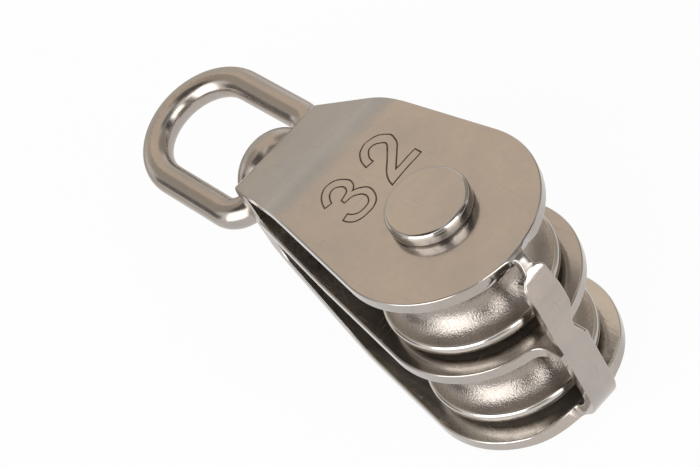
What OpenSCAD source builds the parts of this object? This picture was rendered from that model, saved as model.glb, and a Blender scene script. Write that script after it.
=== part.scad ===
// Double swivel block: two grooved sheaves on one axle, in a bent strap with a swivel eye.
// The block lies on its lower axle button. Z runs along the axle, and the eye is at -X.
// The origin is the middle of the lower button's face.

/* [Sheaves] */
// Outside diameter of each sheave
sheave_d = 32; // [26:1:36]
// Width of each sheave along the axle
sheave_w = 15.2; // [13:0.2:18]
// Radius of the rope groove's round cross-section
groove_r = 5.2; // [3.5:0.1:5.8]
// How far the groove's centre stands outside the rim
groove_lift = 0.4; // [0:0.1:1]
// Radius of the rounding on the outer edges of the rims
rim_round = 0.8; // [0.2:0.1:1]
// Running gap between a sheave and the plate beside it
side_gap = 1.3; // [0.8:0.1:2]

/* [Axle] */
// Diameter of the axle
axle_d = 8; // [6:0.5:9]
// Diameter of the flat buttons at the axle's ends
button_d = 15.2; // [12:0.2:18]
// Height of the buttons
button_h = 2.9; // [2:0.1:4]
// Radius of the rounding on the buttons' edges
button_round = 0.9; // [0.3:0.1:1.2]
// Diameter of the riveted spigot in the lower button
spigot_d = 5; // [3.5:0.5:5.5]
// Wall of the bush in each sheave
bush_wall = 1.6; // [1:0.1:2.5]
// Outside diameter of the thrust washers
washer_d = 14; // [12.5:0.5:20]
// Thickness of the thrust washers
washer_t = 1; // [0.5:0.1:1.1]

/* [Strap] */
// Thickness of the bent strap
strap_t = 2.4; // [1.6:0.1:3]
// Radius of the cheeks' round ends
cheek_r = 18.6; // [18:0.2:23]
// How far the round ends' centre lies past the axle
cheek_x = 0.6; // [0:0.1:2]
// Distance from the axle to the line where the cheeks bend inwards
bend_x = 26.5; // [23:0.5:30]
// Outside radius of that soft bend
bend_r = 24; // [8:1:30]
// Width of the cheeks at that line
bend_w = 29.1; // [26:0.1:34]
// Distance from the axle to the crown's outer face
crown_x = 51; // [46:0.5:60]
// Width of the crown
crown_w = 20.2; // [17:0.2:24]
// Height of the crown, between the sharp corners of its outer faces
crown_h = 20.4; // [17:0.2:24]
// Outside radius of the bends at those corners
crown_r = 6.2; // [4:0.1:7]

/* [Tie bars and middle plate] */
// Distance from the axle to the tie bars' outer face
bar_x = 24.3; // [23:0.1:28]
// Width of the tie bars
bar_w = 5.8; // [4:0.2:8]
// Outside radius of the bend at the root of the upper bar
bar_r = 6; // [4.5:0.1:6.5]
// Outside radius of the bend at the root of the lower bar
low_bar_r = 9.5; // [4.5:0.5:11]
// Depth of the relief cuts beside the root of each bar
relief = 0.9; // [0.5:0.1:1.2]
// Thickness of the middle plate
mid_t = 2.4; // [1.6:0.1:3]
// How far the middle plate's outline lies inside the cheeks' outline
mid_inset = 0; // [0:0.1:1]
// Width of the middle plate's tongue between the bars
tongue_w = 7.6; // [5:0.2:9]
// Width of the middle plate's slot round the swivel pin's head
slot_w = 11; // [10.5:0.2:12]
// Depth of that slot, from the crown's inner face
slot_l = 8; // [6:0.5:10]

/* [Swivel eye] */
// Diameter of the eye's round bar
eye_bar_d = 5.9; // [4.5:0.1:6.5]
// Outside width of the eye
eye_w = 28.9; // [26:0.1:32]
// Distance from the crown's outer face to the eye's far end
eye_l = 39.2; // [36:0.1:50]
// Inside radius of the bends beside the hub
eye_corner_r = 2.2; // [0.2:0.1:3]
// Diameter of the eye's domed hub
hub_d = 17.6; // [15:0.2:19]
// Length of the hub from the crown to the top of its dome
hub_l = 9; // [7.5:0.1:11]
// Gap between the hub and the crown
hub_gap = 0.3; // [0.3:0.05:0.6]
// How far the eye is turned on its swivel
eye_turn = 7; // [0:0.5:20]
// Diameter of the swivel pin
pin_d = 5; // [4:0.2:6]
// Diameter of the swivel pin's head
pin_head_d = 8.4; // [7.6:0.1:8.8]
// Thickness of that head
pin_head_t = 2; // [1.5:0.1:2.5]
// Thickness of the washer under that head
pin_washer_t = 0.8; // [0.5:0.1:1]
// End play between that washer and the crown
pin_play = 0.1; // [0.05:0.05:0.3]

/* [Hidden] */
$fn = 96;
// Radial clearance of a running fit
run_fit = 0.05;
// Radial clearance of a washer on its shaft
loose_fit = 0.15;
// Overshoot of cutting shapes past the faces that they cut
past = 1;
// Where the swivel pin's washer starts, inside the crown
pin_washer_x = strap_t - crown_x + pin_play;
// Number of steps in a quarter turn of a drawn arc
arc_steps = 8;

// Heights above and below the middle plate's centre
gap_h = sheave_w + 2 * side_gap;
half_h = mid_t / 2 + gap_h + strap_t;
mid_z = button_h + half_h;
sheave_z = mid_t / 2 + side_gap + sheave_w / 2;

// The slope between the cheek's bend and the crown's bend, and the centres of both bends
slope_a = atan2(half_h - crown_h / 2, crown_x - bend_x);
bend_cx = bend_r * tan(slope_a / 2) - bend_x;
bend_cz = half_h - bend_r;
crown_cx = crown_r - crown_x;
crown_cz = crown_h / 2 - crown_r * tan(45 - slope_a / 2);

// Shape of the eye
eye_rod = eye_bar_d / 2;
eye_leg_y = eye_w / 2 - eye_rod;
eye_bend_r = eye_corner_r + eye_rod;
eye_far_x = -(crown_x + eye_l) + eye_w / 2;
eye_near_x = -(crown_x + hub_gap) - eye_bend_r - eye_rod;
hub_face_x = -(crown_x + hub_gap);
hub_tip_x = hub_face_x - hub_l;
// The hub's widest ring lies this share of its length from its flat face
hub_belly = 0.33;
hub_belly_x = hub_face_x - hub_belly * hub_l;

// Points of an arc about c with radius r, from angle a0 to a1
function arc(c, r, a0, a1) =
    let (n = max(2, ceil(arc_steps * abs(a1 - a0) / 90)))
    [for (i = [0:n]) let (a = a0 + (a1 - a0) * i / n) [c[0] + r * cos(a), c[1] + r * sin(a)]];

// Corners of half the strap's side view at depth d under its outer face, from the crown to a bar with bend r
function half_side(d, r) =
    let (lean = [-sin(slope_a), cos(slope_a)])
    [[d - crown_x, crown_cz],
     [crown_cx, crown_cz] + (crown_r - d) * lean,
     [bend_cx, bend_cz] + (bend_r - d) * lean,
     [bend_cx, half_h - d],
     [bar_x - r, half_h - d],
     [bar_x - d, half_h - r]];

// Everything inside the strap's surface at depth d under its outer face
module strap_block(d) {
    wide = 2 * cheek_r + 2 * past;
    low = half_side(d, low_bar_r);
    rotate([90, 0, 0]) {
        linear_extrude(height = wide, center = true)
            polygon(concat(half_side(d, bar_r), [for (i = [len(low) - 1:-1:0]) [low[i][0], -low[i][1]]]));
        for (s = [-1, 1])
            translate([crown_cx, s * crown_cz, 0])
                cylinder(r = crown_r - d, h = wide, center = true);
        translate([bar_x - bar_r, half_h - bar_r, 0])
            cylinder(r = bar_r - d, h = wide, center = true);
        translate([bar_x - low_bar_r, low_bar_r - half_h, 0])
            cylinder(r = low_bar_r - d, h = wide, center = true);
        soft_bend(d, wide);
        mirror([0, 1, 0]) soft_bend(d, wide);
    }
}

// Sector that rounds the cheek's bend, for the block above
module soft_bend(d, wide) {
    translate([bend_cx, bend_cz, -wide / 2]) rotate([0, 0, 90])
        rotate_extrude(angle = slope_a) square([bend_r - d, wide]);
}

// Outline of a plate from above: a round end, a taper to the bend and a neck to the crown
module plate_outline(r) {
    reach = norm([bend_x + cheek_x, bend_w / 2]);
    touch = atan2(bend_w / 2, -bend_x - cheek_x) - acos(r / reach);
    tangent = [cheek_x + r * cos(touch), r * sin(touch)];
    neck = [[-bend_x, bend_w / 2], [-crown_x - past, crown_w / 2 - past * (bend_w - crown_w) / 2 / (crown_x - bend_x)]];
    edge = concat([tangent], neck);
    polygon(concat(edge, [for (i = [len(edge) - 1:-1:0]) [edge[i][0], -edge[i][1]]]));
    translate([cheek_x, 0]) circle(r = r);
}

module outer_strap() {
    color([0.69, 0.65, 0.60])
    translate([0, 0, mid_z])
    difference() {
        intersection() {
            difference() {
                strap_block(0);
                strap_block(strap_t);
            }
            linear_extrude(height = 2 * half_h + 2 * past, center = true) {
                plate_outline(cheek_r);
                translate([0, -bar_w / 2]) square([bar_x + past, bar_w]);
            }
        }
        // The bars stop at the tongue
        translate([bar_x - bar_r, -bar_w, -mid_t / 2]) cube([bar_r + past, 2 * bar_w, mid_t]);
        // Relief cuts beside the bars' roots
        for (sy = [-1, 1], sz = [-1, 1])
            translate([bar_x - bar_r, sy * bar_w / 2, sz * half_h])
                cylinder(r = relief, h = 2 * strap_t + 2 * past, center = true);
        // Holes for the axle and the swivel pin
        cylinder(d = axle_d + 2 * run_fit, h = 2 * half_h + 2 * past, center = true);
        translate([-crown_x - past, 0, 0]) rotate([0, 90, 0])
            cylinder(d = pin_d + 2 * run_fit, h = strap_t + 2 * past);
    }
}

module middle_plate() {
    wall_x = strap_t - crown_x;
    color([0.66, 0.62, 0.57])
    translate([0, 0, mid_z - mid_t / 2])
    difference() {
        linear_extrude(height = mid_t) {
            intersection() {
                plate_outline(cheek_r - mid_inset);
                translate([wall_x, -cheek_r - past]) square([bar_x - wall_x, 2 * cheek_r + 2 * past]);
            }
            translate([0, -tongue_w / 2]) square([bar_x, tongue_w]);
        }
        translate([0, 0, -past]) cylinder(d = axle_d + 2 * run_fit, h = mid_t + 2 * past);
        // Slot round the swivel pin's head, with a round bottom
        translate([wall_x + slot_l - slot_w / 2, 0, -past]) cylinder(d = slot_w, h = mid_t + 2 * past);
        translate([wall_x - past, -slot_w / 2, -past])
            cube([slot_l - slot_w / 2 + past, slot_w, mid_t + 2 * past]);
    }
}

// Half outline of a button with rounded edges, to be turned about the axle
module button_profile(bore_r) {
    r = button_d / 2;
    polygon(concat([[bore_r, 0]],
                   arc([r - button_round / 2, button_round / 2], button_round / 2, -90, 0),
                   arc([r - button_round, button_h - button_round], button_round, 0, 90),
                   [[bore_r, button_h]]));
}

module axle_pin() {
    color([0.70, 0.66, 0.61]) {
        translate([0, 0, mid_z + half_h]) rotate_extrude() button_profile(0);
        translate([0, 0, button_h]) cylinder(d = axle_d, h = 2 * half_h);
        cylinder(d = spigot_d, h = button_h);
    }
}

module axle_button() {
    color([0.70, 0.66, 0.61])
    translate([0, 0, button_h]) mirror([0, 0, 1]) rotate_extrude() button_profile(spigot_d / 2);
}

// A sheave about its own centre
module sheave() {
    r = sheave_d / 2;
    h = sheave_w / 2;
    bore = axle_d / 2 + run_fit + bush_wall;
    half_open = acos(groove_lift / groove_r);
    lip = groove_r * sin(half_open);
    color([0.62, 0.58, 0.53])
    rotate_extrude()
    polygon(concat([[bore, -h]],
                   arc([r - rim_round, -h + rim_round], rim_round, -90, 0),
                   [[r, -lip]],
                   arc([r + groove_lift, 0], groove_r, 180 + half_open, 180 - half_open),
                   [[r, lip]],
                   arc([r - rim_round, h - rim_round], rim_round, 0, 90),
                   [[bore, h]]));
}

module upper_sheave() {
    translate([0, 0, mid_z + sheave_z]) sheave();
}

module lower_sheave() {
    translate([0, 0, mid_z - sheave_z]) sheave();
}

// A bush about its own centre
module bush() {
    color([0.72, 0.58, 0.34])
    difference() {
        cylinder(r = axle_d / 2 + run_fit + bush_wall, h = sheave_w, center = true);
        cylinder(r = axle_d / 2 + run_fit, h = sheave_w + 2 * past, center = true);
    }
}

module upper_bush() {
    translate([0, 0, mid_z + sheave_z]) bush();
}

module lower_bush() {
    translate([0, 0, mid_z - sheave_z]) bush();
}

// A thrust washer in the middle of the gap at height z above the middle plate's centre
module thrust_washer(z) {
    color([0.60, 0.60, 0.60])
    translate([0, 0, mid_z + z])
    difference() {
        cylinder(d = washer_d, h = washer_t, center = true);
        cylinder(d = axle_d + 2 * loose_fit, h = washer_t + 2 * past, center = true);
    }
}

module upper_outer_washer() {
    thrust_washer(sheave_z + (sheave_w + side_gap) / 2);
}

module upper_inner_washer() {
    thrust_washer(sheave_z - (sheave_w + side_gap) / 2);
}

module lower_inner_washer() {
    thrust_washer((sheave_w + side_gap) / 2 - sheave_z);
}

module lower_outer_washer() {
    thrust_washer(-sheave_z - (sheave_w + side_gap) / 2);
}

// One bend of the eye beside the hub, on the +Y side
module eye_bend() {
    translate([eye_near_x, eye_leg_y - eye_bend_r, 0])
        rotate_extrude(angle = 90) translate([eye_bend_r, 0]) circle(r = eye_rod);
}

module swivel_eye() {
    color([0.68, 0.63, 0.57])
    translate([0, 0, mid_z])
    rotate([eye_turn, 0, 0])
    difference() {
        union() {
            // Far end, legs and bends of the round bar
            translate([eye_far_x, 0, 0]) rotate([0, 0, 90])
                rotate_extrude(angle = 180) translate([eye_leg_y, 0]) circle(r = eye_rod);
            for (s = [-1, 1])
                translate([eye_far_x, s * eye_leg_y, 0]) rotate([0, 90, 0])
                    cylinder(r = eye_rod, h = eye_near_x - eye_far_x);
            eye_bend();
            mirror([0, 1, 0]) eye_bend();
            // Bar across behind the hub
            translate([eye_near_x + eye_bend_r, 0, 0]) rotate([90, 0, 0])
                cylinder(r = eye_rod, h = 2 * (eye_leg_y - eye_bend_r), center = true);
            // Domed hub
            translate([hub_belly_x, 0, 0]) rotate([0, -90, 0]) rotate_extrude()
                polygon(concat([[0, -hub_belly * hub_l]],
                    [for (i = [0:arc_steps]) let (a = -90 * hub_belly * (1 - i / arc_steps))
                        [hub_d / 2 * cos(a), hub_belly * hub_l * sin(a) / sin(90 * hub_belly)]],
                    [for (i = [1:2 * arc_steps]) let (a = 45 * i / arc_steps)
                        [hub_d / 2 * cos(a), (1 - hub_belly) * hub_l * sin(a)]]));
        }
        // Blind bore for the swivel pin
        translate([hub_face_x - hub_l + strap_t, 0, 0]) rotate([0, 90, 0])
            cylinder(d = pin_d, h = hub_l + past);
    }
}

module swivel_pin() {
    head_x = pin_washer_x + pin_washer_t;
    color([0.70, 0.66, 0.61])
    translate([0, 0, mid_z]) rotate([0, 90, 0]) {
        translate([0, 0, head_x]) cylinder(d = pin_head_d, h = pin_head_t);
        translate([0, 0, hub_face_x - hub_l + strap_t])
            cylinder(d = pin_d, h = head_x - (hub_face_x - hub_l + strap_t));
    }
}

module swivel_washer() {
    color([0.60, 0.60, 0.60])
    translate([pin_washer_x, 0, mid_z]) rotate([0, 90, 0])
    difference() {
        cylinder(d = pin_head_d, h = pin_washer_t);
        translate([0, 0, -past]) cylinder(d = pin_d + 2 * loose_fit, h = pin_washer_t + 2 * past);
    }
}

outer_strap();
middle_plate();
axle_pin();
axle_button();
upper_sheave();
lower_sheave();
upper_bush();
lower_bush();
upper_outer_washer();
upper_inner_washer();
lower_inner_washer();
lower_outer_washer();
swivel_eye();
swivel_pin();
swivel_washer();
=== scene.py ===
from math import acos, atan2, cos, degrees, dist, hypot, pi, radians, sin, tan
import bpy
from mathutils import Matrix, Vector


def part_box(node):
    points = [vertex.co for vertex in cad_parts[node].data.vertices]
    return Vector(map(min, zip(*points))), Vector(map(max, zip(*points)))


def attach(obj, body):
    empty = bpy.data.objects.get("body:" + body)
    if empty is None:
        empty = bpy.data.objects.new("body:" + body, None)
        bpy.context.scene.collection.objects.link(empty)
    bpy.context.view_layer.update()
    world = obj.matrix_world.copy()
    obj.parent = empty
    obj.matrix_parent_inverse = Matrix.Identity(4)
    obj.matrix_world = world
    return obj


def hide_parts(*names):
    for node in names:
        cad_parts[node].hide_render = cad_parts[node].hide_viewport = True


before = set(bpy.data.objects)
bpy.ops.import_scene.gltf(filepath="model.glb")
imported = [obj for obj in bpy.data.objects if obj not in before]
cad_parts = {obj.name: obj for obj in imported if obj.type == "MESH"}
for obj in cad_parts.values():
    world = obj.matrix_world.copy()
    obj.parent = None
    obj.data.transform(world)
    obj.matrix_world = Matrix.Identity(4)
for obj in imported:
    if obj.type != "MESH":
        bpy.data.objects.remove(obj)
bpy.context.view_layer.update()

from types import SimpleNamespace

import bmesh
import bpy
from mathutils import Matrix, Vector

bl_info = {
    "name": "Double swivel block",
    "version": (1, 0, 0),
    "blender": (4, 5, 0),
    "location": "3D View > Sidebar > Block",
    "description": "Builds the dressed pieces of a double swivel block over its packed solids",
    "category": "Object",
}


def box_mm(node):
    """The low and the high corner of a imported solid, in millimetres."""
    return [point * 1000 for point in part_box(node)]


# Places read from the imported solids, in millimetres
STRAP_LOW, STRAP_HIGH = box_mm("outer_strap")
PLATE_LOW, PLATE_HIGH = box_mm("middle_plate")
PIN_HIGH = box_mm("axle_pin")[1]
UPPER_LOW, UPPER_HIGH = box_mm("upper_sheave")
LOWER_LOW, LOWER_HIGH = box_mm("lower_sheave")
EYE_LOW, EYE_HIGH = box_mm("swivel_eye")
MID_Z = (STRAP_LOW.z + STRAP_HIGH.z) / 2
HALF_H = (STRAP_HIGH.z - STRAP_LOW.z) / 2
BAR_X = STRAP_HIGH.x
CROWN_X = -STRAP_LOW.x
CHEEK_R = STRAP_HIGH.y
PLATE_T = PLATE_HIGH.z - PLATE_LOW.z
HUB_FACE_X = EYE_HIGH.x

# Fits and small roundings that stay as they are, in millimetres
AXLE_GAP = 0.05
CREASE_INSIDE = 0.2
CROWN_HOLE_R = 2.55
NECK_GAP = 0.15
SLOT_ROUND, SHOULDER_ROUND = 0.6, 0.8
SPIGOT_CHAMFER, SPIGOT_SINK = 0.2, 0.15
FOOT_INSET, FOOT_ROUND, FOOT_LIFT = 0.45, 0.8, 0.7
LIP_ROUND, BORE_ROUND = 0.75, 0.3
HUB_GAP = 0.02
# Angle of a button's barrelled wall in degrees, and the hub's widest place as a share of its length
BARREL_LEAN = 25
HUB_BELLY = 0.33
# Faces round the turned pieces, round the eye's bar and round the cutter of the number's lines
BUTTON_FACES, SHEAVE_FACES, HUB_FACES, BAR_FACES, LINE_FACES = 160, 192, 96, 40, 8
# Greatest angle between two faces that are shaded as one, in degrees
SMOOTH_ANGLE = 35

# Outlines of the two plain digits of the size number, along the cheek and across it, in millimetres
THREE = [(-18.3, -8.9, 1), (-19.5, -8.4), (-20.6, -7.6), (-21.3, -6.7), (-21.7, -5.7), (-21.6, -4.7),
         (-21.2, -3.8), (-20.5, -3.1), (-19.4, -2.5), (-18.5, -2.3), (-17.4, -2.6), (-16.8, -3.1),
         (-16.5, -3.7, 1), (-16.2, -3.1), (-15.5, -2.4), (-14.8, -1.9), (-13.8, -1.7), (-12.5, -2.0),
         (-11.4, -2.6), (-10.7, -3.4), (-10.3, -4.5), (-10.3, -5.5), (-10.4, -6.6), (-10.8, -7.7),
         (-11.5, -8.5), (-12.6, -9.0), (-13.3, -9.1, 1), (-13.6, -7.7, 1), (-12.8, -7.4), (-12.1, -6.8),
         (-11.8, -6.1), (-11.7, -5.1), (-11.9, -4.1), (-12.5, -3.5), (-13.3, -3.2), (-14.2, -3.3),
         (-14.8, -3.7), (-15.4, -4.3), (-15.7, -5.0), (-15.75, -5.6), (-15.9, -6.3, 1), (-16.8, -6.2, 1),
         (-17.0, -5.3), (-17.3, -4.4), (-17.9, -4.0), (-18.6, -3.9), (-19.4, -4.3), (-20.0, -5.0),
         (-20.0, -5.7), (-19.6, -6.5), (-18.8, -7.1), (-18.0, -7.5, 1)]
TWO = [(-17.9, 1.1, 1), (-19.4, 1.5), (-20.5, 2.1), (-21.4, 2.9), (-21.8, 3.7), (-22.1, 4.7), (-21.9, 5.7),
       (-21.5, 6.8), (-20.8, 7.6), (-19.8, 8.2), (-18.9, 8.5), (-17.7, 8.2), (-16.6, 7.7), (-15.5, 6.6),
       (-14.2, 5.2), (-12.6, 3.5, 1), (-12.55, 4.4), (-12.6, 5.8), (-12.65, 7.1), (-12.6, 8.3, 1),
       (-11.0, 8.3, 1), (-10.95, 7.2), (-10.95, 5.9), (-10.9, 4.3), (-10.8, 2.8), (-10.7, 1.5),
       (-10.6, 0.7, 1), (-11.7, 1.0), (-12.9, 1.6), (-14.0, 2.5), (-15.5, 4.1), (-17.1, 5.7), (-18.0, 6.5),
       (-18.7, 6.7), (-19.4, 6.3), (-20.1, 5.7), (-20.4, 5.0), (-20.3, 4.1), (-19.5, 3.3), (-18.7, 2.85),
       (-17.7, 2.7, 1)]

# Creases of the upper bar's bend past and below its start, as shares of the bend's radius
CREASES = ((0, 0), (0.3, -0.09), (0.7, -0.45), (1.0, -1.28))
# Half widths of the bars' necks at lengths past the start of their bends, in millimetres
UPPER_RIGHT_NECK = [(0.74, 2.9, 1), (0.98, 2.35), (1.5, 2.0), (2.6, 1.85), (3.9, 1.75), (4.4, 1.95),
                    (4.75, 2.45), (5.2, 2.78), (6.0, 2.9, 1)]
UPPER_LEFT_NECK = [(0.87, 1.95, 1), (1.0, 1.35), (1.3, 0.7), (1.8, 0.25), (2.6, 0.1), (3.6, 0.4), (4.6, 0.85),
                   (5.0, 1.4), (5.7, 2.1), (6.6, 2.75), (7.6, 2.9, 1)]
LOWER_RIGHT_NECK = [(3.3, 6.5, 1), (3.9, 5.4), (4.7, 4.4), (5.7, 3.6), (7.0, 3.1), (8.6, 2.9, 1)]
LOWER_LEFT_NECK = [(4.14, 3.85, 1), (4.35, 3.45), (4.8, 3.08), (5.5, 2.93), (6.3, 2.9, 1)]
# Half widths of the middle plate's tongue at places along it, in millimetres from the axle
PLATE_LEFT_NECK = [(18.15, 6.15, 1), (18.55, 5.25), (19.2, 4.55), (20.2, 4.05), (21.6, 3.82), (25.3, 3.8, 1)]
PLATE_RIGHT_NECK = [(18.92, 3.3, 1), (19.2, 3.08), (19.8, 2.94), (20.8, 2.9), (25.3, 2.9, 1)]
# Half widths of the upper bar's clipped corner at lengths from its end, where the blank is sheared off
UPPER_RIGHT_TIP = [(-8.2, 2.9, 1), (-7.4, 2.68), (-5.5, 1.95), (-3.9, 1.45), (-2.6, 1.4), (-1.4, 1.8),
                   (0.0, 2.5), (1.0, 2.9, 1)]

# Lamps: name, side angle and height in degrees, size in metres, glow
LAMPS = (("softbox_front", -73, 26, (1.04, 1.02), 2.35),
         ("strip_right", 5, 24, (0.6, 0.92), 2.7))
# Cards that stand round the block: name, side angle and height in degrees, distance and size in metres, glow
CARDS = (("card_overhead", -98, 71, 0.9, (0.84, 0.62), (0.09, 0.086, 0.08)),
         ("card_top", 45, 68, 1.0, (0.75, 0.52), (0.3, 0.29, 0.27)),
         ("card_right", -31, 22, 1.0, (0.56, 0.95), (0.36, 0.34, 0.31)),
         ("card_back_right", 45, 27, 1.0, (0.5, 1.15), (0.13, 0.124, 0.113)),
         ("card_back", 92, 27, 1.02, (1.1, 1.2), (0.48, 0.44, 0.39)),
         ("card_left_low", -131, 10, 0.98, (0.62, 0.55), (0.17, 0.155, 0.145)),
         ("card_left", -156, 40, 1.0, (0.8, 0.8), (0.58, 0.53, 0.465)),
         ("card_warm", 162, 50, 1.05, (1.55, 1.42), (0.96, 0.832, 0.703)),
         ("card_behind", 168, 11, 0.42, (0.42, 0.36), (0.76, 0.74, 0.69)))
# Cards that lie on the floor: name, place and size in metres, glow
FLOOR_CARDS = (("card_floor_behind", (-0.3, 0.08, 0.0008), (0.44, 0.4), (0.6, 0.52, 0.435)),
               ("card_floor_back", (0.06, 0.3, 0.0008), (0.6, 0.4), (0.62, 0.58, 0.53)),
               ("card_floor_right", (0.3, 0.0, 0.0007), (0.6, 0.5), (0.975, 0.915, 0.88)))
# Width of the cards' soft edges, as a share of their size
CARD_FADE = 0.16
# The place in metres that the lamps and cards face
AIM = (-0.02, 0, 0.025)
# The sky's colour and strength where it lights things, and how white the floor looks to the camera
SKY, SKY_STRENGTH = (0.95, 0.97, 1.0, 1), 0.62
FLOOR_WHITE = 0.94
WHITE = (1, 1, 1, 1)
# The camera fitted to the photo: place in metres, turn in degrees, lens and sensor in millimetres, shift
CAMERA_PLACE = (0.278665, -0.110679, 0.343513)
CAMERA_TURN = (40.86899, 23.09091, 46.48076)
CAMERA_LENS, CAMERA_SENSOR = 132.96, 36
CAMERA_SHIFT = (0.00682, -0.00947)


# Sizes and colours that a user would change

def length(name, text, mm, low=0.0):
    return bpy.props.FloatProperty(name=name, description=text, default=mm / 1000, min=low / 1000,
                                   unit="LENGTH", precision=5)


def colour(name, text, rgb):
    return bpy.props.FloatVectorProperty(name=name, description=text, default=rgb, size=3, min=0, max=1,
                                         subtype="COLOR")


def in_mm(group):
    """The lengths in a group of sizes, in millimetres."""
    lengths = [name for name, size in group.bl_rna.properties.items() if size.unit == "LENGTH"]
    return SimpleNamespace(**{name: getattr(group, name) * 1000 for name in lengths})


class StrapSizes(bpy.types.PropertyGroup):
    thickness: length("Thickness", "Thickness of the bent strap", 2.4, 0.5)
    edge_round: length("Edge rounding", "Radius along the strap's and plate's tumbled edges", 0.32, 0.05)
    cheek_shift: length("Cheek shift", "How far the round ends' centre lies past the axle", 0.6)
    bend_x: length("Bend line", "Distance from the axle to the cheeks' bend", 26.5, 10)
    bend_r: length("Cheek bend radius", "Outside radius of the cheeks' soft bend", 24, 3)
    bend_w: length("Width at the bend", "Width of the cheeks at their bend", 29.1, 10)
    crown_w: length("Crown width", "Width of the crown", 20.2, 8)
    crown_h: length("Crown height", "Height between the sharp corners of the crown", 20.4, 8)
    crown_r: length("Crown radius", "Outside radius of the crown's bends", 6.2, 2.6)
    bar_w: length("Bar width", "Width of the tie bars", 5.8, 2)
    bar_r: length("Upper bar bend", "Outside radius of the upper bar's bend", 6, 2.6)
    low_bar_r: length("Lower bar bend", "Outside radius of the lower bar's bend", 9.5, 2.6)
    slot_w: length("Slot width", "Width of the middle plate's slot", 11, 2)
    slot_l: length("Slot depth", "Depth of the middle plate's slot", 8, 2)
    number_line: length("Number line", "Width of the engraved lines of the size number", 0.3, 0.05)
    number_depth: length("Number depth", "Depth of the engraved lines", 0.16, 0.02)


class WheelSizes(bpy.types.PropertyGroup):
    groove_r: length("Groove radius", "Radius of the rope groove's cross-section", 5.2, 1)
    groove_lift: length("Groove lift", "How far the groove's centre stands outside the rim", 0.4)
    rim_round: length("Rim rounding", "Radius of the rims' outer edges", 1.25, 0.1)
    bore_r: length("Bore radius", "Radius of the sheave's bore round the bush", 5.65, 3)
    axle_r: length("Axle radius", "Radius of the axle", 4, 2)
    spigot_r: length("Spigot radius", "Radius of the riveted spigot in the lower button", 2.5, 1)
    button_lip: length("Button lip", "Radius on the edge of the buttons' faces", 0.85, 0.02)
    button_barrel: length("Button barrel", "Radius of the barrelled wall below that edge", 1.2, 0.5)


class EyeSizes(bpy.types.PropertyGroup):
    bar_d: length("Bar diameter", "Diameter of the eye's round bar", 5.9, 2)
    width: length("Width", "Outside width of the eye", 28.9, 12)
    corner_r: length("Corner radius", "Inside radius of the bends beside the hub", 2.2, 0.1)
    hub_d: length("Hub diameter", "Diameter of the domed hub", 17.6, 8)
    hub_l: length("Hub length", "Length of the hub with its dome", 9, 4)
    voxel: length("Grain of the blend", "Size of the steps used where the bar and hub are blended", 0.42, 0.2)
    turn: bpy.props.FloatProperty(name="Turn", description="How far the eye is turned on its swivel",
                                  default=radians(7), subtype="ANGLE", unit="ROTATION")


class BlockColours(bpy.types.PropertyGroup):
    strap: colour("Strap", "Polished nickel-plated steel of the strap and plate", (0.445, 0.405, 0.37))
    # Painted bounce light: the inside's colour is lighter than the strap's, standing in for light bounced
    # between the plates and sheaves.
    inner: colour("Inside", "Duller steel inside the strap and on the sheaves' sides", (0.56, 0.527, 0.488))
    button: colour("Axle", "Polished steel of the axle's buttons", (0.452, 0.414, 0.379))
    groove: colour("Groove", "Satin steel of the rope grooves", (0.4, 0.358, 0.322))
    rim: colour("Rim", "Polished steel of the sheaves' rims", (0.545, 0.51, 0.47))
    eye: colour("Eye", "Polished steel of the swivel eye", (0.425, 0.38, 0.343))
    brass: colour("Bush", "Brass of the bushes", (0.48, 0.295, 0.095))
    washer: colour("Washer", "Plain steel of the washers", (0.33, 0.32, 0.31))
    # A dark colour laid in the engraved lines of the number.
    number_dark: colour("Number", "Dark oxide in the engraved number", (0.15, 0.115, 0.088))
    floor: colour("Floor", "Pale floor", (0.86, 0.86, 0.85))


# Drawing helpers, in millimetres

def arc(centre, radius, first, last, steps):
    """Points on an arc from one angle to another, in degrees, both ends included."""
    turn = [radians(first + (last - first) * i / steps) for i in range(steps + 1)]
    return [(centre[0] + radius * cos(a), centre[1] + radius * sin(a)) for a in turn]


def round_hole(x, radius, sides=96):
    """A hole's outline, run so that the metal lies on its left."""
    return arc((x, 0), radius, 360, 0, sides)[:-1]


def tidy(loop, least=1e-4):
    """The loop without points that lie on their neighbours."""
    out = []
    for p in loop:
        if not out or dist(p, out[-1]) > least:
            out.append(p)
    if dist(out[0], out[-1]) <= least:
        out.pop()
    return out


def inset(loop, d):
    """The closed loop moved to its left by d, with mitred corners."""
    out = []
    n = len(loop)
    for i in range(n):
        before, here, after = Vector(loop[i - 1]), Vector(loop[i]), Vector(loop[(i + 1) % n])
        way_in, way_out = (here - before).normalized(), (after - here).normalized()
        left_in, left_out = Vector((-way_in.y, way_in.x)), Vector((-way_out.y, way_out.x))
        mitre = (left_in + left_out) / max(0.35, 1 + left_in.dot(left_out))
        out.append((here.x + d * mitre.x, here.y + d * mitre.y))
    return out


def smooth_outline(points, step, closed=True):
    """A curve through the points, with sharp corners at those that carry a third number."""
    n = len(points)
    out = []
    for i in range(n if closed else n - 1):
        p1, p2 = points[i], points[(i + 1) % n]
        p0 = points[i - 1] if len(p1) == 2 else p1
        p3 = points[(i + 2) % n] if len(p2) == 2 else p2
        parts = max(1, round(dist(p1[:2], p2[:2]) / step))
        for k in range(parts):
            t = k / parts
            out.append(tuple(0.5 * (2 * p1[j] + (p2[j] - p0[j]) * t
                                    + (2 * p0[j] - 5 * p1[j] + 4 * p2[j] - p3[j]) * t * t
                                    + (3 * p1[j] - p0[j] - 3 * p2[j] + p3[j]) * t ** 3) for j in (0, 1)))
    return tidy(out, step / 6) if closed else out + [points[-1][:2]]


def new_object(name, mesh):
    obj = bpy.data.objects.new(name, mesh)
    bpy.context.scene.collection.objects.link(obj)
    return obj


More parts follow.
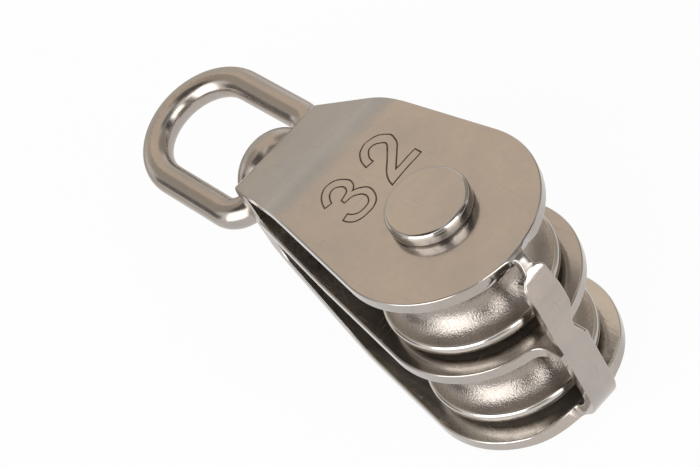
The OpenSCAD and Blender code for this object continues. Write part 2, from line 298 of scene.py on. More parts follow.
def finish_mesh(bm, name):
    """Turns a bmesh drawn in millimetres into an object in metres, with sharp edges only at sharp angles."""
    bmesh.ops.recalc_face_normals(bm, faces=bm.faces)
    bmesh.ops.scale(bm, vec=(0.001, 0.001, 0.001), verts=bm.verts)
    mesh = bpy.data.meshes.new(name)
    bm.to_mesh(mesh)
    bm.free()
    mesh.shade_smooth()
    mesh.set_sharp_from_angle(angle=radians(SMOOTH_ANGLE))
    return new_object(name, mesh)


def skin(bm, layers):
    """Joins each loop of vertices to the next one with four-sided faces."""
    n = len(layers[0])
    for a, b in zip(layers, layers[1:]):
        for i in range(n):
            bm.faces.new((a[i], a[(i + 1) % n], b[(i + 1) % n], b[i]))


def tube(bm, loop, wide, deep, sides, place):
    """A tube round a closed loop, from its half width and half depth; place puts its points in space."""
    layers = []
    for k in range(sides):
        a = 2 * pi * k / sides
        layers.append([bm.verts.new(place(x, y, deep * sin(a)))
                       for x, y in inset(loop, wide * cos(a))])
    skin(bm, layers + layers[:1])


def weigh_normals(obj):
    """Lets large flat faces rule the shading beside narrow rounded edges."""
    mod = obj.modifiers.new("Face weights", "WEIGHTED_NORMAL")
    mod.weight = 60
    mod.keep_sharp = True


def applied(obj):
    """Gives the object the mesh that its modifiers make, and drops them."""
    bpy.context.view_layer.update()
    graph = bpy.context.evaluated_depsgraph_get()
    mesh = bpy.data.meshes.new_from_object(obj.evaluated_get(graph), preserve_all_data_layers=True,
                                           depsgraph=graph)
    obj.modifiers.clear()
    obj.data = mesh


def edge_rings(thick, edge, steps=4):
    """Inward shift and depth of each ring over a rounded edge, from one face to the other."""
    half = [(edge * (1 - sin(a)), edge * (1 - cos(a)))
            for a in (radians(90 * i / steps) for i in range(steps + 1))]
    return half + [(shift, thick - depth) for shift, depth in reversed(half)]


def sliced(bm, x, way=1, reach=1e-4, **rest):
    """Cuts the mesh across its first axis."""
    return bmesh.ops.bisect_plane(bm, geom=bm.verts[:] + bm.edges[:] + bm.faces[:], dist=reach,
                                  plane_co=(x, 0, 0), plane_no=(way, 0, 0), **rest)


def sheet_solid(name, outer, holes, thick, edge, cuts, trims, place):
    """A plate cut from sheet metal with rounded edges, whose far face takes the second material. The outline
    runs with the metal on its left, so does each hole. cuts are the lines along the first axis where it may
    bend, trims the (line, direction) where it is sheared off square, and place puts (along, across, depth) in
    space."""
    bm = bmesh.new()
    rings = edge_rings(thick, edge)
    lids = ([], [])
    for loop in [tidy(outer)] + [tidy(h) for h in holes]:
        layers = []
        for shift, depth in rings:
            layers.append([bm.verts.new((x, y, -depth)) for x, y in inset(loop, shift)])
        skin(bm, layers)
        n = len(loop)
        for lid, layer in zip(lids, (layers[0], layers[-1])):
            lid.extend(bm.edges.get((layer[i], layer[(i + 1) % n])) for i in range(n))
    for lid, up in zip(lids, (1, -1)):
        bmesh.ops.triangle_fill(bm, use_beauty=True, use_dissolve=False, edges=lid, normal=(0, 0, up))
    for face in bm.faces:
        face.material_index = 1 if face.calc_center_median().z < edge / 2 - thick else 0
    for line in cuts:
        sliced(bm, line)
    for line, way in trims:
        shorn = sliced(bm, line, way, 1e-5, clear_outer=True)
        rim = [part for part in shorn["geom_cut"] if isinstance(part, bmesh.types.BMEdge)]
        bmesh.ops.edgeloop_fill(bm, edges=rim)
    bmesh.ops.recalc_face_normals(bm, faces=bm.faces)
    for v in bm.verts:
        v.co = Vector(place(v.co.x, v.co.y, -v.co.z))
    return finish_mesh(bm, name)


def lathe(name, profile, steps, zones=None, axis="Z", origin=(0, 0, 0)):
    """Turns a closed (radius, height) outline about an axis. zones gives each side of the outline a material
    number."""
    bm = bmesh.new()
    angles = [2 * pi * i / steps for i in range(steps)]
    rings = []
    for r, z in profile:
        if r < 1e-6:
            rings.append([bm.verts.new((0, 0, z))])
        else:
            rings.append([bm.verts.new((r * cos(a), r * sin(a), z)) for a in angles])
    count = len(profile)
    for k in range(count):
        a, b = rings[k], rings[(k + 1) % count]
        if len(a) == 1 and len(b) == 1:
            continue
        for i in range(steps):
            j = (i + 1) % steps
            points = (a[i % len(a)], a[j % len(a)], b[j % len(b)], b[i % len(b)])
            face = bm.faces.new(list(dict.fromkeys(points)))
            if zones:
                face.material_index = zones[k]
    if axis == "-X":
        quarter = Matrix.Rotation(radians(-90), 3, "Y")
        bmesh.ops.rotate(bm, verts=bm.verts, cent=(0, 0, 0), matrix=quarter)
    bmesh.ops.translate(bm, verts=bm.verts, vec=origin)
    return finish_mesh(bm, name)


def corner(points, radius, steps=5):
    """The arc that rounds the middle one of three points."""
    before, here, after = (Vector(p) for p in points)
    back, on = (before - here).normalized(), (after - here).normalized()
    half = back.angle(on) / 2
    reach = radius / tan(half)
    centre = here + (back + on).normalized() * radius / sin(half)
    first, last = here + back * reach - centre, here + on * reach - centre
    turn = first.angle_signed(last)
    return [tuple(centre + Matrix.Rotation(-turn * i / steps, 2) @ first) for i in range(steps + 1)]


# Materials

def fill(node, **values):
    """Sets the node's inputs by their names, with a low line for each space."""
    for key, value in values.items():
        node.inputs[key.replace("_", " ")].default_value = value


class Nodes:
    """Short ways to add and join the nodes of one material."""

    def __init__(self, name):
        self.material = bpy.data.materials.new(name)
        self.material.use_nodes = True
        self.tree = self.material.node_tree
        self.shader = self.tree.nodes["Principled BSDF"]
        self.at = self.add("ShaderNodeTexCoord").outputs["Object"]

    def add(self, kind, **values):
        node = self.tree.nodes.new(kind)
        for key, value in values.items():
            setattr(node, key, value)
        return node

    def join(self, out, into):
        self.tree.links.new(out, into)

    def stretched(self, scale, turn=(0, 0, 0)):
        node = self.add("ShaderNodeMapping")
        fill(node, Scale=scale, Rotation=turn)
        self.join(self.at, node.inputs["Vector"])
        return node.outputs["Vector"]

    def noise(self, scale, detail=2, rough=0.6, distort=0.0, at=None):
        node = self.add("ShaderNodeTexNoise")
        fill(node, Scale=scale, Detail=detail, Roughness=rough, Distortion=distort)
        self.join(at or self.at, node.inputs["Vector"])
        return node.outputs["Fac"]

    def spread(self, value, low, high, to_low=0.0, to_high=1.0):
        node = self.add("ShaderNodeMapRange")
        fill(node, From_Min=low, From_Max=high, To_Min=to_low, To_Max=to_high)
        self.join(value, node.inputs["Value"])
        return node.outputs["Result"]

    def maths(self, kind, a, b):
        node = self.add("ShaderNodeMath", operation=kind)
        for socket, value in zip(node.inputs, (a, b)):
            if isinstance(value, (int, float)):
                socket.default_value = value
            else:
                self.join(value, socket)
        return node.outputs[0]

    def blend(self, share, a, b):
        node = self.add("ShaderNodeMix", data_type="RGBA")
        self.join(share, node.inputs["Factor"])
        for socket, value in ((node.inputs["A"], a), (node.inputs["B"], b)):
            if isinstance(value, (tuple, list)):
                socket.default_value = (*value[:3], 1)
            else:
                self.join(value, socket)
        return node.outputs["Result"]

    def metal(self, tint, gloss, normal):
        """The material as a metal with this colour, roughness and surface."""
        for key, out in (("Base Color", tint), ("Roughness", gloss), ("Normal", normal)):
            self.join(out, self.shader.inputs[key])
        fill(self.shader, Metallic=1)
        return self.material

    def bump(self, height, strength, distance, under=None):
        node = self.add("ShaderNodeBump")
        fill(node, Strength=strength, Distance=distance)
        self.join(height, node.inputs["Height"])
        if under is not None:
            self.join(under, node.inputs["Normal"])
        return node.outputs["Normal"]


def shade(rgb, factor, tint=(1, 1, 1)):
    return tuple(min(1, c * factor * t) for c, t in zip(rgb, tint))


def polished_steel(name, rgb, rough=0.16, scratches=0.5, wave=0.35):
    """Polished plated steel: cloudy tint, patchy gloss, hair scratches and a slightly wavy face."""
    look = Nodes(name)
    cloud = look.spread(look.noise(95, detail=5, distort=0.4), 0.32, 0.7)
    fine = look.spread(look.noise(900, detail=3), 0.35, 0.7)
    tint = look.blend(cloud, shade(rgb, 0.93, (0.98, 1.0, 1.03)), shade(rgb, 1.05, (1.01, 1.0, 0.98)))
    tint = look.blend(look.maths("MULTIPLY", fine, 0.12), tint, shade(rgb, 0.8))
    along = look.stretched((0.35, 7.0, 1.5), (0, 0, 0.35))
    across = look.stretched((6.0, 0.3, 1.8), (0, 0, -0.5))
    long_hair = look.noise(260, rough=0.5, distort=0.6, at=along)
    cross_hair = look.noise(310, rough=0.5, distort=0.5, at=across)
    hair = look.maths("MAXIMUM", look.spread(long_hair, 0.66, 0.74), look.spread(cross_hair, 0.68, 0.76))
    pits = look.spread(look.noise(520, rough=0.5), 0.735, 0.8)
    marks = look.maths("MAXIMUM", hair, pits)
    tint = look.blend(look.maths("MULTIPLY", marks, 0.22), tint, shade(rgb, 0.55))
    dull = look.maths("ADD", look.maths("MULTIPLY", hair, 0.1), look.maths("MULTIPLY", fine, 0.04))
    gloss = look.maths("ADD", look.spread(cloud, 0, 1, rough * 0.85, rough * 1.25), dull)
    normal = look.bump(look.noise(48, rough=0.4), wave, distance=0.0006)
    relief = look.maths("SUBTRACT", look.maths("MULTIPLY", fine, 0.3), marks)
    return look.metal(tint, gloss, look.bump(relief, scratches * 0.25, distance=0.00004, under=normal))


def satin_steel(name, rgb):
    """The rope groove's matt, finely pitted face, with brighter worn patches."""
    look = Nodes(name)
    speck = look.spread(look.noise(3600, detail=3, rough=0.7), 0.36, 0.66)
    patch = look.spread(look.noise(120, detail=4, distort=0.3), 0.35, 0.68)
    tint = look.blend(patch, shade(rgb, 0.88), shade(rgb, 1.08))
    tint = look.blend(look.maths("MULTIPLY", speck, 0.5), tint, shade(rgb, 0.58))
    gloss = look.maths("ADD", look.spread(patch, 0, 1, 0.15, 0.2), look.maths("MULTIPLY", speck, 0.08))
    waves = look.bump(look.noise(150, rough=0.5), 0.12, distance=0.0003)
    grit = look.bump(look.noise(3100), 0.8, distance=0.000085, under=waves)
    return look.metal(tint, gloss, grit)


def mill_steel(name, rgb, rough=0.15):
    """Duller steel with soft streaks, for the strap's inside and the sheaves' sides, coloured lighter there
    as painted bounce light.
    """
    look = Nodes(name)
    rolled = look.noise(70, detail=4, distort=0.3, at=look.stretched((0.5, 3.0, 1.0)))
    streak = look.spread(rolled, 0.32, 0.68)
    fine = look.spread(look.noise(800, detail=3), 0.35, 0.7)
    tint = look.blend(streak, shade(rgb, 0.88), shade(rgb, 1.06))
    tint = look.blend(look.maths("MULTIPLY", fine, 0.15), tint, shade(rgb, 0.75))
    dull = look.maths("MULTIPLY", fine, 0.05)
    gloss = look.maths("ADD", look.spread(streak, 0, 1, rough, rough + 0.1), dull)
    return look.metal(tint, gloss, look.bump(streak, 0.25, distance=0.0002))


def turned_metal(name, rgb, rough):
    """Lathe-turned metal with fine rings about the upright axis."""
    look = Nodes(name)
    ring = look.add("ShaderNodeTexWave", wave_type="RINGS", rings_direction="Z")
    fill(ring, Scale=900, Distortion=1.2, Detail=2)
    look.join(look.at, ring.inputs["Vector"])
    cloud = look.spread(look.noise(140, detail=4), 0.35, 0.7)
    tint = look.blend(cloud, shade(rgb, 0.9), shade(rgb, 1.06))
    tint = look.blend(look.maths("MULTIPLY", ring.outputs["Fac"], 0.18), tint, shade(rgb, 0.78))
    gloss = look.spread(cloud, 0, 1, rough * 0.85, rough * 1.2)
    return look.metal(tint, gloss, look.bump(ring.outputs["Fac"], 0.1, distance=0.00003))


def dark_engraving(name, rgb):
    """Dull dark colour laid in the engraved lines."""
    look = Nodes(name)
    cloud = look.spread(look.noise(700, detail=4), 0.35, 0.68)
    tint = look.blend(cloud, shade(rgb, 0.7), shade(rgb, 1.6))
    line_bumps = look.bump(look.noise(2500, rough=0.5), 0.3, distance=0.00003)
    return look.metal(tint, look.spread(cloud, 0, 1, 0.3, 0.45), line_bumps)


def dress(obj, *materials):
    """Puts the materials in the object's slots without a change to which face has which slot."""
    slots = obj.data.materials
    for i, material in enumerate(materials):
        if i < len(slots):
            slots[i] = material
        else:
            slots.append(material)


def mix_shaders(tree, share, first, second, output):
    """Leads two shaders, mixed by a share, to the tree's output node."""
    mix = tree.nodes.new("ShaderNodeMixShader")
    for out, into in zip((share, first.outputs[0], second.outputs[0]), mix.inputs):
        tree.links.new(out, into)
    tree.links.new(mix.outputs[0], tree.nodes[output].inputs["Surface"])


# The strap's side view and outline

class StrapSide:
    """The strap's outer face from the side, as lines and bends from the crown's middle to a bar's end."""

    def __init__(self, sizes, bar_r, creases):
        points = [(-CROWN_X, 0, 0), (-CROWN_X, sizes.crown_h / 2, sizes.crown_r),
                  (-sizes.bend_x, HALF_H, sizes.bend_r)]
        self.start_x = BAR_X - bar_r
        if creases:
            soft = sizes.thickness + CREASE_INSIDE
            points += [(self.start_x + bar_r * x, HALF_H + bar_r * z, soft) for x, z in CREASES[:-1]]
            points.append((self.start_x + bar_r, HALF_H + bar_r * CREASES[-1][1], bar_r))
        else:
            points.append((BAR_X, HALF_H, bar_r))
        points.append((BAR_X, PLATE_T / 2, 0))
        self.parts = []
        at = Vector(points[0][:2])
        for i in range(1, len(points)):
            here = Vector(points[i][:2])
            way = (here - Vector(points[i - 1][:2])).normalized()
            if i + 1 == len(points):
                self.parts.append(("line", (here - at).length, at, way))
                break
            after, radius = (Vector(points[i + 1][:2]) - here).normalized(), points[i][2]
            turn = way.angle(after)
            stop = here - way * radius * tan(turn / 2)
            self.parts.append(("line", (stop - at).length, at, way))
            self.parts.append(("arc", radius * turn, stop + radius * Vector((way.y, -way.x)), radius,
                               atan2(way.x, -way.y)))
            at = here + after * radius * tan(turn / 2)
        self.starts = [sum(p[1] for p in self.parts[:i]) for i in range(len(self.parts) + 1)]
        self.whole = self.starts[-1]
        self.foot = self.along(self.start_x)

    def at(self, u):
        """Point and outward normal of the outer face at the length u."""
        i = max(k for k in range(len(self.parts)) if self.starts[k] <= u + 1e-9 or k == 0)
        kind, run, *rest = self.parts[i]
        t = u - self.starts[i]
        if kind == "line":
            (x, z), (dx, dz) = rest
            return x + dx * t, z + dz * t, -dz, dx
        centre, r, first = rest
        a = first - t / r
        return centre[0] + r * cos(a), centre[1] + r * sin(a), cos(a), sin(a)

    def along(self, x):
        """The length at which the outer face has the plan position x."""
        low, high = self.starts[1], self.starts[-2]
        for _ in range(50):
            middle = (low + high) / 2
            if self.at(middle)[0] < x:
                low = middle
            else:
                high = middle
        return (low + high) / 2

    def cuts(self):
        """Lengths where the mesh may bend."""
        out = []
        for i, (kind, run, *rest) in enumerate(self.parts):
            steps = 1
            if kind == "arc":
                steps = max(4, round(degrees(run / rest[1]) / 4))
            out += [self.starts[i] + run * k / steps for k in range(steps + (i + 1 == len(self.parts)))]
        return out[1:-1]


def plate_edge(sizes, radius):
    """Half of a plate's plan outline, from the crown's side to the round end's foremost point."""
    bend_x, half, shift = sizes.bend_x, sizes.bend_w / 2, sizes.cheek_shift
    reach = hypot(bend_x + shift, half)
    touch = degrees(atan2(half, -bend_x - shift) - acos(radius / reach))
    return arc((shift, 0), radius, touch, 0, 90)


def neck_half(sizes, x):
    """Half width of the neck between the crown and the bend."""
    share = (x + CROWN_X) / (CROWN_X - sizes.bend_x)
    return sizes.crown_w / 2 + (sizes.bend_w - sizes.crown_w) / 2 * max(0.0, share)


def strap_half(sizes, side, neck, tip=()):
    """Half of the flat blank's outline from the crown's middle past the end of a bar, as (length, across)."""
    line = [(0.0, neck_half(sizes, -CROWN_X))]
    steps = 24
    for i in range(steps + 1):
        x = -CROWN_X + (CROWN_X - sizes.bend_x) * i / steps
        line.append((side.along(x) if i else side.starts[1], neck_half(sizes, x)))
    line += [(side.along(x), y) for x, y in plate_edge(sizes, CHEEK_R) if x < 0 or y > neck[0][1] + NECK_GAP]
    line += [(side.foot + u, y) for u, y in smooth_outline(neck, 0.25, closed=False)]
    past = tip or [(1.0, sizes.bar_w / 2, 1)]
    line += [(side.whole + u, y) for u, y in smooth_outline(past, 0.5, closed=False)]
    return line


# Operators, one for each piece or group of like pieces

class BLOCK_OT_strap(bpy.types.Operator):
    """Bends the outer strap from its flat blank, with its number and its holes"""
    bl_idname = "block.strap"
    bl_label = "Outer strap"
    bl_options = {"REGISTER", "UNDO"}

    def execute(self, context):
        sizes, colours = in_mm(context.scene.block_strap), context.scene.block_colours
        up, low = StrapSide(sizes, sizes.bar_r, True), StrapSide(sizes, sizes.low_bar_r, False)

        def place(u, v, depth):
            side = up if u >= 0 else low
            x, z, nx, nz = side.at(abs(u))
            sign = 1 if u >= 0 else -1
            return x - nx * depth, v, MID_Z + sign * (z - nz * depth)

        outline = [(-u, -v) for u, v in reversed(strap_half(sizes, low, LOWER_LEFT_NECK))]
        outline += [(u, -v) for u, v in strap_half(sizes, up, UPPER_LEFT_NECK)]
        outline += reversed(strap_half(sizes, up, UPPER_RIGHT_NECK, UPPER_RIGHT_TIP))
        outline += [(-u, v) for u, v in strap_half(sizes, low, LOWER_RIGHT_NECK)]
        axle = in_mm(context.scene.block_wheels).axle_r + AXLE_GAP
        holes = [round_hole(u, axle) for u in (up.along(0), -low.along(0))]
        holes.append(round_hole(0, CROWN_HOLE_R, 64))
        cuts = up.cuts() + [-u for u in low.cuts()]
        strap = sheet_solid("strap", outline, holes, sizes.thickness, sizes.edge_round, sorted(cuts),
                            [(up.whole, 1), (-low.whole, -1)], place)
        steel = polished_steel("Polished strap steel", colours.strap)
        dark = dark_engraving("Engraved line", colours.number_dark)
        # The strap's inside face takes steel painted lighter, for light bounced between the plates.
        dress(strap, steel, mill_steel("Inside steel painted lighter", colours.inner), dark)
        self.engrave(strap, sizes, up, place, dark)
        weigh_normals(strap)
        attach(strap, "frame")
        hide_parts("outer_strap")
        return {"FINISHED"}

    def engrave(self, strap, sizes, side, place, dark):
        """Cuts the outlines of the plain size number into the upper cheek."""
        bm = bmesh.new()
        start = side.along(0)
        half, depth = sizes.number_line / 2, sizes.number_depth
        for digit in (THREE, TWO):
            loop = [(start + x, y) for x, y in smooth_outline(digit, 0.35)]
            tube(bm, loop, half, depth, LINE_FACES, place)
        tool = finish_mesh(bm, "number_cutter")
        dress(tool, dark)
        cut = strap.modifiers.new("Number", "BOOLEAN")
        cut.operation, cut.solver, cut.material_mode = "DIFFERENCE", "MANIFOLD", "TRANSFER"
        cut.object = tool
        applied(strap)
        bpy.data.objects.remove(tool)
        strap.data.set_sharp_from_angle(angle=radians(SMOOTH_ANGLE))


class BLOCK_OT_plate(bpy.types.Operator):
    """Cuts the middle plate with its tongue, its slot and the axle's hole"""
    bl_idname = "block.plate"
    bl_label = "Middle plate"
    bl_options = {"REGISTER", "UNDO"}

    def execute(self, context):
        sizes, colours = in_mm(context.scene.block_strap), context.scene.block_colours
        radius, wall = PLATE_HIGH.y, PLATE_LOW.x
        slot_r, slot_x = sizes.slot_w / 2, wall + sizes.slot_l - sizes.slot_w / 2
        mouth, shoulder = (wall, slot_r), (wall, neck_half(sizes, wall))
        bend = (-sizes.bend_x, sizes.bend_w / 2)
        half = arc((slot_x, 0), slot_r, 0, 90, 16)
        half += corner([(slot_x, slot_r), mouth, shoulder], SLOT_ROUND)
        half += corner([mouth, shoulder, bend], SHOULDER_ROUND)
        half.append(bend)
        sides = []
        for neck in (PLATE_LEFT_NECK, PLATE_RIGHT_NECK):
            rim = [(x, y) for x, y in plate_edge(sizes, radius) if x < 0 or y > neck[0][1] + NECK_GAP]
            sides.append(half + rim + smooth_outline(neck, 0.3, closed=False))
        outline = [(x, -y) for x, y in sides[0]] + list(reversed(sides[1]))
        hole = round_hole(0, in_mm(context.scene.block_wheels).axle_r + AXLE_GAP)
        plate = sheet_solid("plate", outline, [hole], PLATE_T, sizes.edge_round, [], [(BAR_X, 1)],
                            lambda x, y, depth: (x, y, PLATE_HIGH.z - depth))
        dress(plate, polished_steel("Polished plate steel", colours.strap, 0.17))
        weigh_normals(plate)
        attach(plate, "frame")
        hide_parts("middle_plate")
        return {"FINISHED"}


class BLOCK_OT_axle(bpy.types.Operator):
    """Turns the axle with its upper button, and the lower button that it is riveted into"""
    bl_idname = "block.axle"
    bl_label = "Axle and buttons"
    bl_options = {"REGISTER", "UNDO"}

    def execute(self, context):
        sizes, colours = in_mm(context.scene.block_wheels), context.scene.block_colours
        radius, axle, spigot = PIN_HIGH.x, sizes.axle_r, sizes.spigot_r
        head, foot = STRAP_HIGH.z, STRAP_LOW.z
        tall = PIN_HIGH.z - head
        steel = polished_steel("Polished axle steel", colours.button, 0.12, 0.4, 0.25)
        wall = self.barrel(sizes, radius, tall)
        profile = [(0, 0), (spigot - SPIGOT_CHAMFER, 0), (spigot, SPIGOT_CHAMFER), (spigot, foot)]
        profile += [(axle, foot), (axle, head)]
        pin = lathe("axle", profile + [(r, head + z) for r, z in wall] + [(0, head + tall)], BUTTON_FACES)
        button = lathe("button", [(spigot, foot)] + [(r, foot - z) for r, z in wall]
                       + [(spigot + SPIGOT_SINK, 0), (spigot, SPIGOT_SINK)], BUTTON_FACES)
        for obj, node in ((pin, "axle_pin"), (button, "axle_button")):
            dress(obj, steel)
            weigh_normals(obj)
            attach(obj, "frame")
            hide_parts(node)
        return {"FINISHED"}

    def barrel(self, sizes, radius, tall):
        """A button's wall from its seat to its face: rounded foot, straight wall, barrelled shoulder, lip."""
        lip, barrel, lean = sizes.button_lip, sizes.button_barrel, radians(BARREL_LEAN)
        top = tall - lip * (1 - sin(lean))
        middle = top - barrel * sin(lean)
        foot = arc((radius - FOOT_ROUND, FOOT_LIFT), FOOT_ROUND, -60, 0, 8)
        shoulder = arc((radius - barrel, middle), barrel, 0, BARREL_LEAN, 10)
        x, y = shoulder[-1]
        edge = arc((x - lip * cos(lean), y - lip * sin(lean)), lip, BARREL_LEAN, 90, 12)
        return [(radius - FOOT_INSET, 0)] + foot + shoulder + edge[1:]


class BLOCK_OT_sheaves(bpy.types.Operator):
    """Turns both sheaves, with satin rope grooves between polished rims"""
    bl_idname = "block.sheaves"
    bl_label = "Sheaves"
    bl_options = {"REGISTER", "UNDO"}

    def execute(self, context):
        sizes, colours = in_mm(context.scene.block_wheels), context.scene.block_colours
        bore, groove = sizes.bore_r, sizes.groove_r
        lift, edge = sizes.groove_lift, sizes.rim_round
        satin = satin_steel("Satin groove steel", colours.groove)
        rim = polished_steel("Polished rim steel", colours.rim, 0.13, 0.5, 0.2)
        # The sheaves' sides take steel painted lighter, for light bounced between the plates and sheaves.
        side_steel_painted_lighter = mill_steel("Turned side steel painted lighter", colours.inner, 0.6)
        for name, node, low, high in (("sheave_upper", "upper_sheave", UPPER_LOW, UPPER_HIGH),
                                      ("sheave_lower", "lower_sheave", LOWER_LOW, LOWER_HIGH)):
            radius, half, middle = high.x, (high.z - low.z) / 2, (high.z + low.z) / 2
            open_angle = degrees(acos(lift / groove))
            bow = arc((radius + lift, 0), groove, 180 + open_angle, 180 - open_angle, 40)
            side = corner([(bore, -half), (radius, -half), (radius, -half / 2)], edge, 8)
            first = corner([(radius, -half + edge), (radius, bow[0][1]), bow[3]], LIP_ROUND, 4)
            last = corner([bow[-4], (radius, bow[-1][1]), (radius, half - edge)], LIP_ROUND, 4)
            deep, wide = first[-1]
            inner = [(r, z) for r, z in bow if abs(z) < abs(wide) - 0.05 and r < deep]
            other = corner([(radius, half / 2), (radius, half), (bore, half)], edge, 8)
            bottom = corner([(bore, half), (bore, -half), (radius, -half)], BORE_ROUND, 2)
            top = corner([(radius, half), (bore, half), (bore, -half)], BORE_ROUND, 2)
            profile = bottom + side + first + inner + last + other + top
            begin = len(bottom) + len(side) + len(first) - 1
            zones = [1 if begin <= k < begin + len(inner) + 1 else 0 for k in range(len(profile))]
            for k in [*range(len(bottom)), *range(len(profile) - len(top) - 1, len(profile))]:
                zones[k] = 2
            obj = lathe(name, profile, SHEAVE_FACES, zones, origin=(0, 0, middle))
            dress(obj, rim, satin, side_steel_painted_lighter)
            weigh_normals(obj)
            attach(obj, "upper_wheel" if node == "upper_sheave" else "lower_wheel")
            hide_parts(node)
        return {"FINISHED"}


class BLOCK_OT_eye(bpy.types.Operator):
    """Bends the swivel eye's round bar and blends it into its domed hub"""
    bl_idname = "block.eye"
    bl_label = "Swivel eye"
    bl_options = {"REGISTER", "UNDO"}

    def execute(self, context):
        sizes = in_mm(context.scene.block_eye)
        rod, bend = sizes.bar_d / 2, sizes.corner_r + sizes.bar_d / 2
        leg = sizes.width / 2 - rod
        far = EYE_LOW.x + sizes.width / 2
        near = HUB_FACE_X - bend - rod
        path = arc((far, 0), leg, 90, 270, 60)
        path += [(far + (near - far) * i / 12, -leg) for i in range(1, 12)]
        path += arc((near, bend - leg), bend, 270, 360, 24)
        path += [(near + bend, (leg - bend) * (i / 6 - 1)) for i in range(1, 12)]
        path += arc((near, leg - bend), bend, 0, 90, 24)
        path += [(near + (far - near) * i / 12, leg) for i in range(1, 12)]
        path = tidy(path)
        bm = bmesh.new()
        tube(bm, path, rod, rod, BAR_FACES, lambda x, y, z: (x, y, z))
        ring = finish_mesh(bm, "ring_bar")
        radius, tall = sizes.hub_d / 2, sizes.hub_l
        belly, low = HUB_BELLY * tall, pi / 2 * HUB_BELLY
        profile = [(0, 0)]
        profile += [(radius * cos(a), belly * (1 + sin(a) / sin(low)))
                    for a in (-low * (1 - i / 8) for i in range(9))]
        profile += [(radius * cos(a), belly + (1 - HUB_BELLY) * tall * sin(a))
                    for a in (pi / 2 * i / 20 for i in range(1, 20))]
        profile += [(0, tall)]
        dome = lathe("hub_dome", profile, HUB_FACES, axis="-X", origin=(HUB_FACE_X, 0, 0))
        eye = self.blended(ring, dome, context.scene.block_eye)
        dress(eye, polished_steel("Polished eye steel", context.scene.block_colours.eye, 0.19, 0.4, 0.4))
        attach(eye, "eye")
        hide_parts("swivel_eye")
        return {"FINISHED"}

    def blended(self, ring, dome, group):
        """One skin over the bar and the hub, smoothed where they meet."""
        join = ring.modifiers.new("Hub", "BOOLEAN")
        join.operation, join.solver, join.object = "UNION", "EXACT", dome
        skin = ring.modifiers.new("Skin", "REMESH")
        skin.mode, skin.voxel_size, skin.use_smooth_shade = "VOXEL", group.voxel, True
        soften = ring.modifiers.new("Soften", "SMOOTH")
        soften.factor, soften.iterations = 0.5, 6
        applied(ring)
        bpy.data.objects.remove(dome)
        flat = (HUB_FACE_X - HUB_GAP) / 1000
        for v in ring.data.vertices:
            v.co.x = min(v.co.x, flat)
        turn = Matrix.Rotation(group.turn, 4, "X")
        ring.data.transform(Matrix.Translation((0, 0, MID_Z / 1000)) @ turn)
        ring.data.shade_smooth()
        ring.name = ring.data.name = "eye_ring"
        return ring


class BLOCK_OT_small_parts(bpy.types.Operator):
    """Finishes the bushes, the washers and the swivel pin, whose solids stay as they are"""
    bl_idname = "block.small_parts"
    bl_label = "Bushes, washers and pin"
    bl_options = {"REGISTER", "UNDO"}

    def execute(self, context):
        colours = context.scene.block_colours
        brass = turned_metal("Turned brass", colours.brass, 0.3)
        washer = turned_metal("Turned washer steel", colours.washer, 0.28)
        pin = polished_steel("Plain pin steel", colours.washer, 0.24, 0.6, 0.2)
        for node in ("upper_bush", "lower_bush"):
            dress(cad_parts[node], brass)
        for node in ("upper_outer_washer", "upper_inner_washer", "lower_inner_washer", "lower_outer_washer",
                     "swivel_washer"):
            dress(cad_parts[node], washer)
        dress(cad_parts["swivel_pin"], pin)
        return {"FINISHED"}


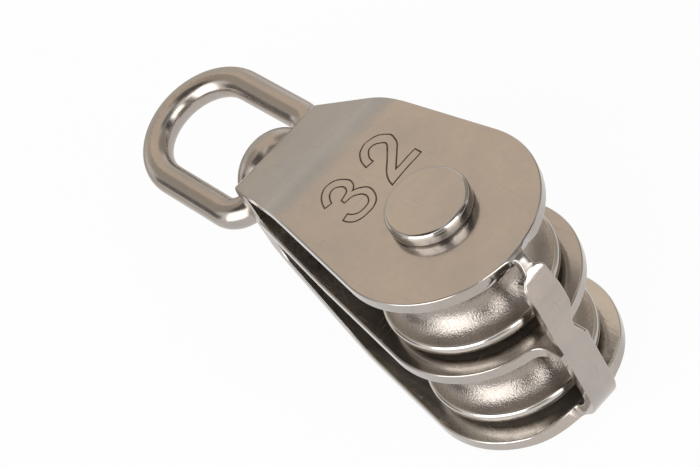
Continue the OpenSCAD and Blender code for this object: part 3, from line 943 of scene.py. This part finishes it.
class BLOCK_OT_stage(bpy.types.Operator):
    """Sets up the pale floor, the soft lamps, the cards that polished metal reflects, and the camera"""
    bl_idname = "block.stage"
    bl_label = "Stage, lamps and camera"
    bl_options = {"REGISTER", "UNDO"}

    def execute(self, context):
        self.world(context.scene)
        self.floor(context.scene.block_colours.floor)
        self.lamps()
        self.camera(context.scene)
        context.scene.view_settings.view_transform = "Standard"
        return {"FINISHED"}

    def seen(self, tree):
        """1 for camera, glossy and transmission rays, and 0 for the light that falls on things."""
        path = tree.nodes.new("ShaderNodeLightPath")
        share = path.outputs["Is Camera Ray"]
        for ray in ("Is Glossy Ray", "Is Transmission Ray"):
            either = tree.nodes.new("ShaderNodeMath")
            either.operation = "MAXIMUM"
            tree.links.new(share, either.inputs[0])
            tree.links.new(path.outputs[ray], either.inputs[1])
            share = either.outputs[0]
        return share

    def world(self, scene):
        world = bpy.data.worlds.new("Studio")
        world.use_nodes = True
        tree = world.node_tree
        light = tree.nodes["Background"]
        fill(light, Color=SKY, Strength=SKY_STRENGTH)
        white = tree.nodes.new("ShaderNodeBackground")
        fill(white, Color=WHITE)
        mix_shaders(tree, self.seen(tree), light, white, "World Output")
        scene.world = world

    def floor(self, rgb):
        bm = bmesh.new()
        bmesh.ops.create_grid(bm, x_segments=8, y_segments=8, size=2000)
        floor = finish_mesh(bm, "floor")
        look = Nodes("Pale floor")
        grain = look.spread(look.noise(30, detail=4), 0.3, 0.7)
        look.join(look.blend(grain, shade(rgb, 0.985), shade(rgb, 1.0)), look.shader.inputs["Base Color"])
        fill(look.shader, Roughness=0.9, Specular_IOR_Level=0.1)
        glow = look.add("ShaderNodeEmission")
        fill(glow, Color=WHITE)
        share = look.maths("MULTIPLY", self.seen(look.tree), FLOOR_WHITE)
        mix_shaders(look.tree, share, look.shader, glow, "Material Output")
        dress(floor, look.material)

    def aimed(self, obj, place):
        obj.location = place
        obj.rotation_euler = (Vector(AIM) - Vector(place)).to_track_quat("-Z", "Y").to_euler()

    def toward(self, side, up, away=1.0):
        """The place at a distance from the origin, in the direction of a side angle and a height."""
        side, up = radians(side), radians(up)
        way = (cos(up) * cos(side), cos(up) * sin(side), sin(up))
        return tuple(c * away for c in way)

    def lamps(self):
        for name, side, up, size, glow in LAMPS:
            light = bpy.data.lights.new(name, "AREA")
            light.shape = "RECTANGLE"
            light.size, light.size_y = size
            light.energy = glow * pi * size[0] * size[1]
            lamp = new_object(name, light)
            lamp.visible_camera = False
            self.aimed(lamp, self.toward(side, up))
        for name, side, up, away, size, glow in CARDS:
            self.card(name, self.toward(side, up, away), size, glow)
        for name, place, size, glow in FLOOR_CARDS:
            self.card(name, place, size, glow, flat=True)

    def card(self, name, place, size, glow, flat=False):
        """A grey card that only the metal's reflections see, with soft edges; flat ones lie on the floor."""
        bm = bmesh.new()
        bmesh.ops.create_grid(bm, x_segments=2, y_segments=2, size=500)
        bmesh.ops.scale(bm, vec=(size[0], size[1], 1), verts=bm.verts)
        card = finish_mesh(bm, name)
        if flat:
            card.location = place
        else:
            self.aimed(card, place)
        look = Nodes("Grey card " + name)
        parts = look.add("ShaderNodeSeparateXYZ")
        look.join(look.at, parts.inputs[0])
        across = [look.maths("ABSOLUTE", look.maths("DIVIDE", parts.outputs[i], size[i]), 0) for i in (0, 1)]
        inside = look.maths("MINIMUM", *(look.maths("SUBTRACT", 0.5, share) for share in across))
        light, clear = look.add("ShaderNodeEmission"), look.add("ShaderNodeBsdfTransparent")
        fill(light, Color=(*glow, 1))
        mix_shaders(look.tree, look.spread(inside, 0.0, CARD_FADE), clear, light, "Material Output")
        dress(card, look.material)
        card.visible_camera = card.visible_shadow = card.visible_diffuse = False

    def camera(self, scene):
        data = bpy.data.cameras.new("Camera")
        data.lens, data.sensor_width = CAMERA_LENS, CAMERA_SENSOR
        data.shift_x, data.shift_y = CAMERA_SHIFT
        data.clip_start, data.clip_end = 0.02, 20
        camera = new_object("Camera", data)
        camera.location = CAMERA_PLACE
        camera.rotation_euler = [radians(a) for a in CAMERA_TURN]
        scene.camera = camera


PIECES = (BLOCK_OT_strap, BLOCK_OT_plate, BLOCK_OT_axle, BLOCK_OT_sheaves, BLOCK_OT_eye, BLOCK_OT_small_parts,
          BLOCK_OT_stage)


class BLOCK_PT_panel(bpy.types.Panel):
    """Sizes, colours and the pieces that they build"""
    bl_idname = "BLOCK_PT_panel"
    bl_label = "Double swivel block"
    bl_space_type = "VIEW_3D"
    bl_region_type = "UI"
    bl_category = "Block"

    def draw(self, context):
        for key, title, kind in GROUPS:
            box = self.layout.box()
            box.label(text=title)
            for name in kind.__annotations__:
                box.prop(getattr(context.scene, key), name)
        column = self.layout.column(align=True)
        for piece in PIECES:
            column.operator(piece.bl_idname)


GROUPS = (("block_strap", "Strap and plate", StrapSizes), ("block_wheels", "Axle and sheaves", WheelSizes),
          ("block_eye", "Swivel eye", EyeSizes), ("block_colours", "Colours", BlockColours))


def register():
    for key, title, kind in GROUPS:
        bpy.utils.register_class(kind)
        setattr(bpy.types.Scene, key, bpy.props.PointerProperty(type=kind))
    for item in PIECES + (BLOCK_PT_panel,):
        bpy.utils.register_class(item)


def unregister():
    for item in reversed(PIECES + (BLOCK_PT_panel,)):
        bpy.utils.unregister_class(item)
    for key, title, kind in reversed(GROUPS):
        delattr(bpy.types.Scene, key)
        bpy.utils.unregister_class(kind)


def main():
    register()
    for piece in PIECES:
        group, name = piece.bl_idname.split(".")
        getattr(getattr(bpy.ops, group), name)()


if __name__ == "__main__":
    main()
